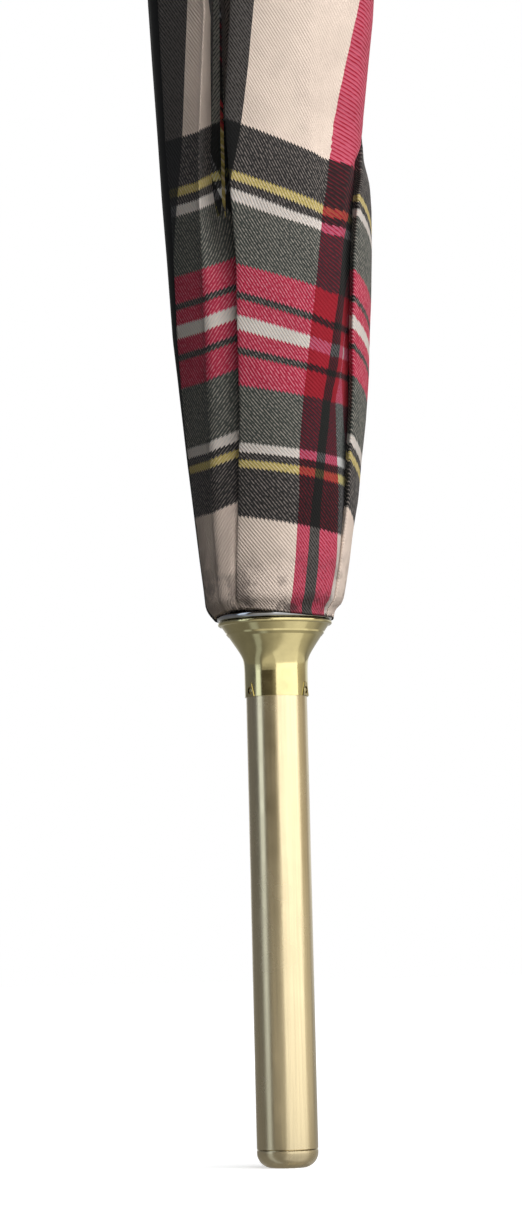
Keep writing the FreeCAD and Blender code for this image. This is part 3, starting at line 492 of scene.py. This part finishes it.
def panel_section(k, z, cap=None):
    """Closed cross-section of panel k: list of (azimuth, radius, zone, share along the zone)."""
    rib = FIRST_RIB + STEP * (k - 1)
    normal = rib + 7.5
    e0, e1 = fold_edge(k, z), fold_edge(k + 1, z)
    flap = flap_line(k, z, e0, e1 + 8)
    outer = [r for _, r in flap]
    if cap is not None:
        outer = [min(v, cap + 0.25 * (v - roll_radius(z, 0))) for v in outer]
    low = min(SEAM_R + 0.05, min(outer) - 0.5)
    top = max(low + 0.1, min(outer) - 0.6)
    mid = (low + top) / 2
    skin = min(0.7, 0.35 * max(0.2, min(outer) - low))

    def border(j, r):
        """Azimuth of the spiral wall between panels j-1 and j at radius r."""
        a = FIRST_RIB + STEP * (j - 1)
        e = e0 if j == k else e1
        f = (r - low) / max(0.3, (outer[0] - 1.0 - low))
        f = min(1.0, max(0.0, f))
        return a + (e + 8 - a) * smooth(f, 0, 0.8) - 8 * smooth(f, 0.7, 1.0)

    def span(h):
        """Leftmost and rightmost u of a flat layer at height h."""
        ends = []
        for j, side in ((k, -1), (k + 1, 1)):
            u = side * 8.0
            for _ in range(6):
                r = math.hypot(h, u)
                a = border(j, r) - side * 1.2 - normal
                u_wall = h * math.tan(math.radians(max(-70, min(70, a))))
                u = 0.5 * u + 0.5 * u_wall
            limit = math.sqrt(max(0.04, (top + 0.2) ** 2 - h * h))
            ends.append(max(-limit, min(limit, u)))
        if ends[1] < ends[0] + 0.4:
            m = (ends[0] + ends[1]) / 2
            ends = [m - 0.2, m + 0.2]
        return ends

    rho = max(4.0, math.hypot(z - PIVOT_Z, 4.0)) if z > PIVOT_Z else 4.0
    width = panel_width(rho)
    tf = {7: 0.325, 6: 0.40, 8: 0.30}.get(k, 0.36)
    # zone C, the visible flap, and zone B, the return under it
    flap = [(azimuth, r) for (azimuth, _), r in zip(flap, outer)]
    back = []
    for i in range(7):
        r = mid + (outer[0] - skin - mid) * i / 6.0
        back.append((border(k, r) + 1.0 * (1 - i / 6.0), r))
    lip = []
    for i in range(1, 4):
        a = math.pi * i / 4
        turned = math.degrees(skin / 2 * math.sin(a) / outer[0])
        lip.append((e0 - turned, outer[0] - skin / 2 - skin / 2 * math.cos(a)))
    dive = []
    for i in range(1, 4):
        r = outer[-1] + (top - 0.2 - outer[-1]) * i / 3.0
        dive.append((max(border(k + 1, r) - 1.0, e0 + 2), r))

    def arc(points):
        total = 0.0
        for p, q in zip(points, points[1:]):
            total += math.hypot(q[1] - p[1], math.radians(q[0] - p[0]) * (p[1] + q[1]) / 2)
        return total

    long_b, long_c = arc(back), arc(flap + dive)
    share_b, share_c = min(long_b / width, 0.9 * tf), min(long_c / width, 0.9 * (1 - tf))

    def stack(h0, h1, need, first):
        """Accordion of FOLDS flat layers from height h0 to h1, as (u, h) fold points."""
        hs = [h0 + (h1 - h0) * j / FOLDS for j in range(FOLDS + 1)]
        spans = [span(h) for h in hs]
        full = sum(s[1] - s[0] for s in spans[1:])
        a = min(1.0, max(0.05, need / max(full, 0.1)))
        points = []
        for j, (h, s) in enumerate(zip(hs, spans)):
            c, half = (s[0] + s[1]) / 2, a * (s[1] - s[0]) / 2
            right = (j % 2 == 1) if first == "left" else (j % 2 == 0)
            points.append((c + half if right else c - half, h))
        return points

    def to_polar(p):
        return normal + math.degrees(math.atan2(p[0], p[1])), math.hypot(*p)

    h_low = low * math.cos(math.radians(7.5)) + 0.1
    inner_a = [to_polar(p) for p in stack(h_low, mid - 0.05, (tf - share_b) * width, "left")]
    inner_d = [to_polar(p) for p in stack(top - 0.25, mid + 0.05, (1 - tf - share_c) * width, "right")]
    seam0 = (rib, low)
    last_h = low * math.cos(math.radians(7.5)) - 0.1
    reach = math.sqrt(max(0.5, (top - 0.1) ** 2 - last_h ** 2))
    foot = [to_polar((min(8.0, reach), last_h)), to_polar((min(TURN_U + EDGE, 0.8 * reach), last_h))]
    zones = [[seam0] + inner_a, back, lip + flap + dive, inner_d + foot]
    t_marks = [(0.0, tf - share_b), (tf - share_b, tf), (tf, tf + share_c), (tf + share_c, 1.0)]
    out = []
    for zone, (points, (t0, t1)) in enumerate(zip(zones, t_marks)):
        total, run = max(arc(points), 1e-6), 0.0
        prev = None
        n = len(points)
        for i, p in enumerate(points):
            if prev is not None:
                run += math.hypot(p[1] - prev[1], math.radians(p[0] - prev[0]) * (p[1] + prev[1]) / 2)
            share = run / total
            share = (i + 0.5) / n * 0.02 + share * 0.98
            out.append((p[0], p[1], zone, t0 + (t1 - t0) * share, i))
            prev = p
    return out, tf


def mesh_piece(name, verts, faces, material, uvs=None):
    """Smooth piece from vertices in metres; uvs are the pattern's coordinates, one for each vertex."""
    mesh = bpy.data.meshes.new(name)
    mesh.from_pydata(verts, [], faces)
    if uvs:
        layer = mesh.uv_layers.new(name="cloth")
        for loop in mesh.loops:
            layer.data[loop.index].uv = uvs[loop.vertex_index]
    mesh.materials.append(material)
    for p in mesh.polygons:
        p.use_smooth = True
    piece = bpy.data.objects.new(name, mesh)
    bpy.context.scene.collection.objects.link(piece)
    return piece


def canopy_panel(k):
    low, zs = panel_rows()
    rib = FIRST_RIB + STEP * (k - 1)
    normal = math.radians(rib + 7.5)
    rows = [(z, r) for z, r in low] + [(z, None) for z in zs]
    verts, uvs, weights = [], [], []
    gx, gy = GRAIN[k]
    columns = None
    for z, cap in rows:
        section, tf = panel_section(k, z, cap)
        columns = len(section)
        flats, deltas, down = [], [], 0.0
        for azimuth, r, zone, t, i in section:
            a = math.radians(azimuth)
            height = z - SCALLOP * 4 * t * (1 - t) * smooth(z, 560, HEM_Z)
            u, h = r * math.sin(a - normal), r * math.cos(a - normal)
            rho = math.hypot(u - TURN_U, height - PIVOT_Z)
            angle = side_angle(t, max(rho, 12.0))
            now = math.atan2(u - TURN_U, max(height - PIVOT_Z, 0.5))
            w_far = (angle - now) / SPREAD
            far = smooth(rho, 9.0, 26.0) if height > PIVOT_Z else 0.0
            w = w_far * far + (1 - far) * min(1.0, max(0.0, t))
            weights.append(w)
            lift = hem_lift(min(z, 109.0) if cap else z, azimuth)
            verts.append((r * math.cos(a) * MM, r * math.sin(a) * MM, (height + lift) * MM))
            reach = max(height - PIVOT_Z, 0.0) if rho < 20 else rho
            flat = (reach * math.sin(angle - SPREAD / 2) + gx,
                    reach * math.cos(angle - SPREAD / 2) + gy)
            flats.append(flat)
            if k == 6 and zone == 2 and i >= LIP_POINTS + TO_RIDGE:
                down += math.hypot(r - before[1], math.radians(azimuth - before[0]) * r)
            before = (azimuth, r)
            worn = dressed(k, z, azimuth, down) if zone == 2 else None
            deltas.append(None if worn is None else (worn[0] - flat[0], worn[1] - flat[1]))
        near = 1 - smooth(z, 235, 330)
        first = next((i for i, d in enumerate(deltas) if d is not None), None)
        last = max((i for i, d in enumerate(deltas) if d is not None), default=None)
        for i, flat in enumerate(flats):
            if first is None:
                uvs.append((flat[0] * MM, flat[1] * MM))
                continue
            d = deltas[i]
            if d is None:
                d = deltas[first] if i < first else deltas[last]
            uvs.append(((flat[0] + d[0] * near) * MM, (flat[1] + d[1] * near) * MM))
    faces = [(a, a + 1, a + columns + 1, a + columns) for row in range(0, len(verts) - columns, columns)
             for a in range(row, row + columns - 1)]
    piece = mesh_piece(f"canopy_panel_{k}", verts, faces, CLOTH, uvs)
    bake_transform(piece)
    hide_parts(f"canopy_gore_{k}")


for k in range(1, RIBS + 1):
    canopy_panel(k)


def lathe(name, profile, material, steps=180):
    """Piece turned about the umbrella's axis from closed (radius, z) points in mm."""
    verts = [(r * math.cos(2 * math.pi * i / steps) * MM, r * math.sin(2 * math.pi * i / steps) * MM, z * MM)
             for i in range(steps) for r, z in profile]
    n = len(profile)
    faces = [(i * n + j, (i + 1) % steps * n + j, (i + 1) % steps * n + (j + 1) % n, i * n + (j + 1) % n)
             for i in range(steps) for j in range(n)]
    return mesh_piece(name, verts, faces, material)


# the disc that closes the cap, with the full round bead that shows under the cloth
BEAD = [(10.9 + 0.66 * math.cos(math.radians(a)), 108.4 + 0.66 * math.sin(math.radians(a)))
        for a in range(-80, 121, 10)]
ring = lathe("crown_ring", [(5.05, 107.05), (9.5, 107.05), (9.7, 107.2), (9.8, 107.74)] + BEAD +
             [(10.4, 108.62), (10.2, 108.58), (5.05, 108.58)], RING_CHROME)
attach(ring, "root")
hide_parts("crown_disc")


# ---------------------------------------------------------------- tie strap, snap and stitches
STRAP_R, STRAP_Z = 19.35, 630.0         # middle radius and height of the strap in mm
STRAP_W, STRAP_T = 16.0, 0.9            # its width and thickness
STRAP_RIM = 14                          # points round its section
SNAP_AT = -118.0                # azimuth of the snap, where the strap's two ends overlap


def strap_radius(azimuth):
    """Middle radius of the strap; its outer end climbs over the inner one."""
    return STRAP_R + 1.02 * smooth(azimuth, SNAP_AT + 314, SNAP_AT + 329)


def strap_half(azimuth):
    """Half the strap's width; the outer end is cut round."""
    end = math.radians(SNAP_AT + 390 - azimuth) * STRAP_R
    return STRAP_W / 2 * math.sqrt(max(0.08, 1 - max(0.0, 1 - end / 7.0) ** 2))


def on_strap(piece, node):
    """The strap and what is on it hang on the first panel and move with it."""
    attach(piece, "gore_1")
    if node:
        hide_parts(node)
    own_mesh(piece)


def tie_strap():
    """Band of folded cloth round the roll, a little more than once, with its outer end cut round."""
    verts, uvs, faces, run, rim = [], [], [], 0.0, STRAP_RIM
    turns = [SNAP_AT - 30 + i for i in range(0, 412, 2)] + [SNAP_AT + 383 + i for i in range(0, 8)]
    for i, azimuth in enumerate(turns):
        r, half, a = strap_radius(azimuth), strap_half(azimuth), math.radians(azimuth)
        if i:
            run += math.radians(azimuth - turns[i - 1]) * r
        for j in range(rim):
            b = 2 * math.pi * (j + 0.5) / rim
            across = half * math.copysign(abs(math.sin(b)) ** 0.45, math.sin(b))
            thick = STRAP_T / 2 * math.copysign(abs(math.cos(b)) ** 0.45, math.cos(b))
            out = (r + thick) * MM
            verts.append((out * math.cos(a), out * math.sin(a), (STRAP_Z + across) * MM))
            uvs.append((run * MM, across * MM))
    for i in range(len(turns) - 1):
        for j in range(rim):
            k = i * rim + (j + 1) % rim
            faces.append((i * rim + j, k, k + rim, i * rim + j + rim))
    faces += [tuple(range(rim))[::-1], tuple(range(len(verts) - rim, len(verts)))]
    return mesh_piece("tie_strap_cloth", verts, faces, CLOTH, uvs)


on_strap(tie_strap(), "tie_strap")

DOME_FOOT, DOME_STEPS = 20.79, 48        # radius in mm at which the snap stands on the strap; steps round it
DOME = [(5.2, 0.0), (5.2, 0.45), (4.95, 0.62), (4.3, 0.7), (4.05, 0.86), (3.7, 1.25), (2.9, 1.52),
        (1.7, 1.66), (0.0, 1.7)]         # half section as (radius, height) in mm


def snap_dome():
    """The snap's pressed dome, turned about its own axis and set on the strap."""
    a, n = math.radians(SNAP_AT), len(DOME)
    out, side = Vector((math.cos(a), math.sin(a), 0)), Vector((-math.sin(a), math.cos(a), 0))
    verts = []
    for t in np.linspace(0, 2 * math.pi, DOME_STEPS, endpoint=False):
        for r, h in DOME:
            verts.append(((DOME_FOOT + h) * out + r * math.cos(t) * side +
                          Vector((0, 0, STRAP_Z + r * math.sin(t)))) * MM)
    faces = []
    for i in range(DOME_STEPS):
        here, there = i * n, (i + 1) % DOME_STEPS * n
        faces += [(here + j, there + j, there + j + 1, here + j + 1) for j in range(n - 1)]
    faces.append(tuple(i * n for i in range(DOME_STEPS))[::-1])
    return mesh_piece("snap_dome", verts, faces, BRASS)


on_strap(snap_dome(), "snap_cap")


def stitch_rows(name, centres, turns, length, thickness):
    """Thread stitches at the given places, made by Geometry Nodes and turned along their seam."""
    mesh = bpy.data.meshes.new(name)
    mesh.from_pydata(centres, [], [])
    mesh.attributes.new("turn", "FLOAT_VECTOR", "POINT").data.foreach_set("vector", np.array(turns).ravel())
    piece = bpy.data.objects.new(name, mesh)
    bpy.context.scene.collection.objects.link(piece)
    tree = bpy.data.node_groups.new(name, "GeometryNodeTree")
    for label, kind in (("Geometry", "Geometry"), ("Length", "Float"), ("Thickness", "Float")):
        tree.interface.new_socket(label, in_out="INPUT", socket_type="NodeSocket" + kind)
    tree.interface.new_socket("Geometry", in_out="OUTPUT", socket_type="NodeSocketGeometry")
    given = tree.nodes.new("NodeGroupInput")
    size = add(tree, "ShaderNodeCombineXYZ", {0: given.outputs["Length"], 1: given.outputs["Thickness"],
                                              2: given.outputs["Thickness"]})
    bead = add(tree, "GeometryNodeMeshUVSphere", {"Segments": 8, "Rings": 6, "Radius": 0.5})
    turn = add(tree, "GeometryNodeInputNamedAttribute", {"Name": "turn"}, data_type="FLOAT_VECTOR")
    put = add(tree, "GeometryNodeInstanceOnPoints", {"Points": given.outputs["Geometry"], "Instance": bead,
                                                     "Rotation": turn, "Scale": size})
    real = add(tree, "GeometryNodeRealizeInstances", {0: put})
    done = add(tree, "GeometryNodeSetMaterial", {"Geometry": real, "Material": THREAD})
    tree.links.new(done.outputs[0], tree.nodes.new("NodeGroupOutput").inputs[0])
    modifier = piece.modifiers.new(name, "NODES")
    modifier.node_group = tree
    for item in tree.interface.items_tree:
        if item.in_out == "INPUT" and item.name in ("Length", "Thickness"):
            modifier[item.identifier] = (length if item.name == "Length" else thickness) * MM
    bpy.context.view_layer.update()
    made = bpy.data.meshes.new_from_object(piece.evaluated_get(bpy.context.evaluated_depsgraph_get()))
    piece.modifiers.clear()
    piece.data = made
    for p in made.polygons:
        p.use_smooth = True
    return piece


# two rows of stitches along the strap's edges, where its outer face is seen
places, turns = [], []
azimuth = SNAP_AT + 38
while azimuth < SNAP_AT + 382:
    r, half = strap_radius(azimuth) + STRAP_T / 2, strap_half(azimuth) - 2.0
    for side in (-1, 1):
        a = math.radians(azimuth)
        places.append((r * math.cos(a) * MM, r * math.sin(a) * MM, (STRAP_Z + side * half) * MM))
        turns.append((0.0, 0.0, a + math.pi / 2))
    azimuth += math.degrees(3.0 / STRAP_R)
on_strap(stitch_rows("strap_stitches", places, turns, 2.1, 0.4), None)

# ---------------------------------------------------------------- finishes of the fixed pieces
def dress(node, material):
    piece = NODES[node]
    piece.data.materials.clear()
    piece.data.materials.append(material)


FINISH = {"crown_cap": BRASS, "cap_pins": BRASS, "ferrule_tube": SATIN_GOLD, "ferrule_tip": SATIN_GOLD,
          "shaft_tube": STEEL, "notch": TIP_PLASTIC, "notch_wire": STEEL, "stop_pin": STEEL,
          "spring_pins": STEEL, "handle_crook": WOOD, "handle_collar": BRASS, "handle_nose_cap": BRASS,
          "handle_pin": BRASS, "runner_crown": TIP_PLASTIC, "runner_wire": STEEL, "runner_sleeve": STEEL,
          "hand_spring": SPRING_STEEL, "top_spring": SPRING_STEEL}
for name in NODES:
    if name in FINISH:
        dress(name, FINISH[name])
    elif name.startswith("rib_tip_"):
        dress(name, BRASS)
    elif name.startswith("rib_") or name.startswith("stretcher_"):
        dress(name, BLACK_STEEL)

# ---------------------------------------------------------------- studio
# the room as polished metal and cloth see it: degrees from the camera's side, colour
ROOM = [(-180, "#B4B4B4"), (-160, "#B4B4B4"), (-150, "#5F5F5E"), (-106, "#55565A"), (-82, "#4E5056"),
        (-76, "#DCE9F8"), (-62, "#DCE9F8"), (-56, "#403B36"), (-16, "#484339"), (-4, "#7B756A"),
        (92, "#A59C8C"), (98, "#9C9484"), (128, "#857E74"), (140, "#B4B4B4"), (180, "#B4B4B4")]
ROOM_STRENGTH = 2.2
world = bpy.data.worlds.new("studio")
bpy.context.scene.world = world
world.use_nodes = True
sky = world.node_tree
sky.nodes.clear()
path = add(sky, "ShaderNodeLightPath")
way = add(sky, "ShaderNodeSeparateXYZ", {0: add(sky, "ShaderNodeTexCoord").outputs["Generated"]})
ahead = add(sky, "ShaderNodeMath", {0: way.outputs[1], 1: -1.0}, operation="MULTIPLY")
round_about = add(sky, "ShaderNodeMath", {0: way.outputs[0], 1: ahead}, operation="ARCTAN2")
turns = add(sky, "ShaderNodeMath", {0: round_about, 1: 0.5 / math.pi, 2: 0.5}, operation="MULTIPLY_ADD")
ramp = add(sky, "ShaderNodeValToRGB", {0: turns})
for i, (angle, code) in enumerate(ROOM):
    stop = ramp.color_ramp.elements[i] if i < 2 else ramp.color_ramp.elements.new(0.5 + angle / 360)
    stop.position = 0.5 + angle / 360
    stop.color = srgb(code)
plain = add(sky, "ShaderNodeBackground", {0: (0.85, 0.93, 1.0, 1), 1: 0.06})
white = add(sky, "ShaderNodeBackground", {0: (1, 1, 1, 1), 1: 1.0})
graded = add(sky, "ShaderNodeBackground", {0: ramp, 1: ROOM_STRENGTH})
clear = add(sky, "ShaderNodeMath", {0: path.outputs["Is Camera Ray"],
                                    1: path.outputs["Is Transmission Ray"]}, operation="MAXIMUM")
shiny = add(sky, "ShaderNodeMixShader", {0: path.outputs["Is Glossy Ray"], 1: plain, 2: graded})
seen = add(sky, "ShaderNodeMixShader", {0: clear, 1: shiny, 2: white})
out = sky.nodes.new("ShaderNodeOutputWorld")
sky.links.new(seen.outputs[0], out.inputs[0])


def soft_box(name, place, aim, wide, high, radiance, gleam):
    light = bpy.data.lights.new(name, "AREA")
    light.shape, light.size, light.size_y = "RECTANGLE", wide, high
    light.energy = radiance * math.pi * wide * high
    lamp = bpy.data.objects.new(name, light)
    bpy.context.scene.collection.objects.link(lamp)
    lamp.location = place
    lamp.rotation_euler = (Vector(aim) - Vector(place)).to_track_quat("-Z", "Y").to_euler()
    lamp.visible_camera = False
    lamp.visible_diffuse, lamp.visible_glossy = not gleam, gleam
    return lamp


# one window: how it lights the cloth, and how bright it looks in polished metal
soft_box("window", (0.80, -0.89, 0.75), (0, 0, 0.30), 2.6, 1.7, 3.15, False)
soft_box("window_gleam", (0.78, -0.87, 0.73), (0, 0, 0.30), 2.5, 1.7, 1.75, True)

material, tree = new_material("studio_floor")
path = add(tree, "ShaderNodeLightPath")
place = add(tree, "ShaderNodeTexCoord")
spot = add(tree, "ShaderNodeVectorMath", {0: place.outputs["Object"]}, operation="LENGTH")
glow_by = add(tree, "ShaderNodeMapRange", {0: spot.outputs["Value"], 1: 0.10, 2: 0.8, 3: 0.62, 4: 1.0})
paint = add(tree, "ShaderNodeBsdfDiffuse", {"Color": srgb("#F2F2F2")})
glow = add(tree, "ShaderNodeEmission", {"Color": (1, 1, 1, 1), "Strength": glow_by})
lit = add(tree, "ShaderNodeAddShader", {0: paint, 1: glow})
# polished metal sees a paler table to the right, where the window lights it
towards = add(tree, "ShaderNodeVectorMath", {0: place.outputs["Object"], 1: (0.6, -0.8, 0)},
              operation="DOT_PRODUCT")
table_by = add(tree, "ShaderNodeMapRange", {0: towards.outputs["Value"], 1: -0.01, 2: 0.10, 3: 0.32, 4: 1.2})
table_top = add(tree, "ShaderNodeEmission", {"Color": srgb("#FFFAF0"), "Strength": table_by})
polish = add(tree, "ShaderNodeBsdfAnisotropic", {"Color": srgb("#E8E8E8"), "Roughness": 0.08})
soft = add(tree, "ShaderNodeMixShader", {0: 0.3, 1: table_top, 2: polish})
clear = add(tree, "ShaderNodeMath", {0: path.outputs["Is Camera Ray"],
                                     1: path.outputs["Is Transmission Ray"]}, operation="MAXIMUM")
bounce = add(tree, "ShaderNodeBsdfDiffuse", {"Color": srgb("#484848")})
first = add(tree, "ShaderNodeMixShader", {0: path.outputs["Is Glossy Ray"], 1: bounce, 2: soft})
mix = add(tree, "ShaderNodeMixShader", {0: clear, 1: first, 2: lit})
finish_material(tree, mix)
mesh = bpy.data.meshes.new("floor")
mesh.from_pydata([(-6, -6, 0), (6, -6, 0), (6, 6, 0), (-6, 6, 0)], [], [(0, 1, 2, 3)])
mesh.materials.append(material)
floor = bpy.data.objects.new("floor", mesh)
bpy.context.scene.collection.objects.link(floor)

# ---------------------------------------------------------------- camera
LENS, DISTANCE, EYE = 109.98, 0.740, (-0.0027, 0.0409)     # focal length in mm; the rest in metres
PITCH, ROLL = 5.323, -1.369     # degrees
lens = bpy.data.cameras.new("camera")
lens.lens, lens.sensor_width = LENS, 36.0
camera = bpy.data.objects.new("camera", lens)
bpy.context.scene.collection.objects.link(camera)
place = Vector((EYE[0], -DISTANCE, EYE[1]))
aim = place + Vector((0, DISTANCE, DISTANCE * math.tan(math.radians(PITCH))))
camera.location = place
camera.rotation_mode = "QUATERNION"
level = (aim - place).to_track_quat("-Z", "Y")
camera.rotation_quaternion = level @ Quaternion((0, 0, 1), math.radians(ROLL))
bpy.context.scene.camera = camera
bpy.context.scene.view_settings.view_transform = "Standard"
